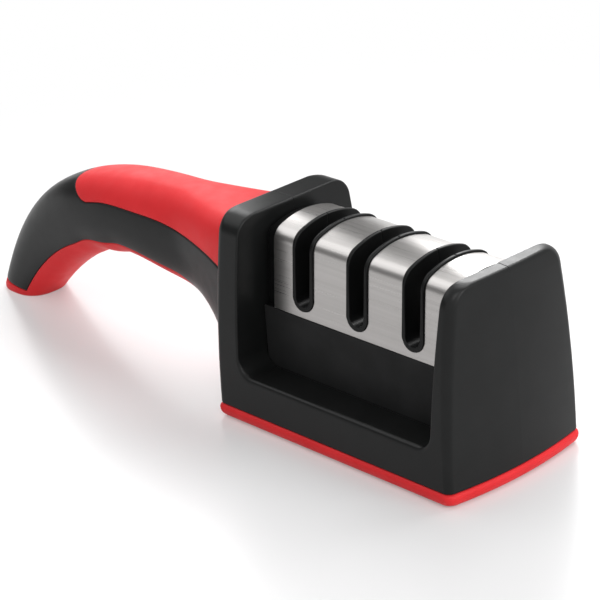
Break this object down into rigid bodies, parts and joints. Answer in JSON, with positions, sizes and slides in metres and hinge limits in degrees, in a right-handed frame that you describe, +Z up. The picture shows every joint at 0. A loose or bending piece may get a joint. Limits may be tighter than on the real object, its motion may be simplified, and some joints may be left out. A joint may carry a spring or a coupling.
{
  "type": "manual knife sharpener",
  "caption": "Pull-through knife sharpener: slotted steel-covered cartridge lifting out between two end walls, soft foot pad, arched handle with soft grips and a sole.",
  "frame": {"origin": "middle of the foot pad, on the table it stands on", "axes": "+Z up, +X along the head away from the handle, +Y from the front of the head to its back"},
  "size_m": [0.2159, 0.0516, 0.0593],
  "materials": {
    "body_black": "satin moulded, fine grain",
    "liner_black": "smooth moulded",
    "soft_red": "soft matte",
    "cover_steel": "brushed along its length",
    "fastener_steel": "plain",
    "carbide": "ground",
    "diamond_coat": "gritty",
    "ceramic_white": "fine matte"
  },
  "bodies": {
    "stand": {"housing_front": "body_black", "housing_rear": "body_black", "housing_pins": "fastener_steel", "base_plate": "liner_black", "base_pad": "soft_red", "base_screws": "fastener_steel", "handle_core": "body_black", "tenon_pins": "fastener_steel", "top_grip": "soft_red", "under_grip": "soft_red"},
    "cartridge": {"cartridge_front": "liner_black", "cartridge_rear": "liner_black", "cartridge_pins": "fastener_steel", "cartridge_screws": "fastener_steel", "steel_cover": "cover_steel", "carbide_front": "carbide", "carbide_rear": "carbide", "diamond_rod_front": "diamond_coat", "diamond_rod_rear": "diamond_coat", "ceramic_rod_front": "ceramic_white", "ceramic_rod_rear": "ceramic_white"}
  },
  "joints": [
    {"name": "cartridge_lift", "type": "slide", "parent": "stand", "child": "cartridge", "axis": [0, 0, 1], "range_m": [0, 0.06]}
  ]
}
